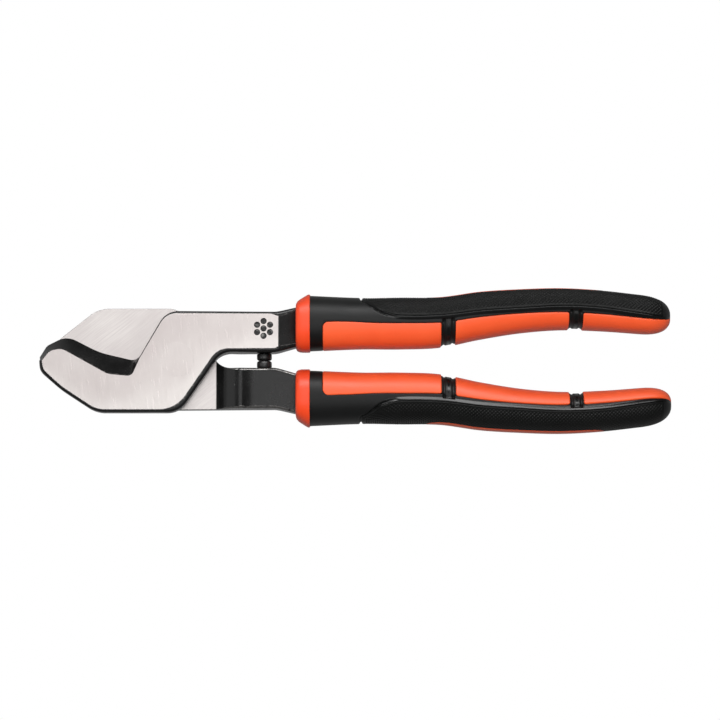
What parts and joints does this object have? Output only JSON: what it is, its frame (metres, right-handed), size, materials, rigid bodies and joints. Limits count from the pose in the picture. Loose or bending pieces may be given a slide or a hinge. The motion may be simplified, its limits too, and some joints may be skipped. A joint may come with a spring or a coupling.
{
  "type": "hand cable cutter",
  "caption": "Hand cable cutter: crossed bypass jaws with curved bevelled edges on a flush rivet, stop studs between the tangs, long moulded two-colour grips.",
  "frame": {"origin": "on the pivot axis, at the flat rear face of the head", "axes": "+X from the jaws to the handles, +Y towards the upper handle, +Z along the pivot axis from the rear face to the front face"},
  "size_m": [0.2413, 0.0558, 0.022],
  "materials": {
    "ground_steel": "ground and polished faces, black oxide in the bevels, on the tangs and on the edges",
    "rivet_steel": "ground flush",
    "stud_steel": "satin",
    "orange_hard": "fine moulded texture",
    "orange_soft": "satin moulded",
    "black_skin": "satin soft moulding",
    "black_pad": "diamond knurled"
  },
  "bodies": {
    "rear_half_and_lower_grip": {"rear_half": "ground_steel", "pivot_rivet": "rivet_steel", "lower_stop_stud": "stud_steel", "lower_collar": "orange_hard", "lower_core_sleeve": "orange_hard", "lower_skin": "black_skin", "lower_inlay_front": "orange_soft", "lower_inlay_middle": "orange_soft", "lower_inlay_rear": "orange_soft", "lower_pad_front": "black_pad", "lower_pad_back": "black_pad", "lower_spine_strip": "orange_soft"},
    "front_half_and_upper_grip": {"front_half": "ground_steel", "upper_stop_stud": "stud_steel", "upper_collar": "orange_hard", "upper_core_sleeve": "orange_hard", "upper_skin": "black_skin", "upper_inlay_front": "orange_soft", "upper_inlay_middle": "orange_soft", "upper_inlay_rear": "orange_soft", "upper_pad_front": "black_pad", "upper_pad_back": "black_pad", "upper_spine_strip": "orange_soft"}
  },
  "joints": [
    {"name": "jaw_pivot", "type": "hinge", "parent": "rear_half_and_lower_grip", "child": "front_half_and_upper_grip", "pos_m": [0, 0, 0.0055], "axis": [0, 0, 1], "range_deg": [0, 44]}
  ]
}
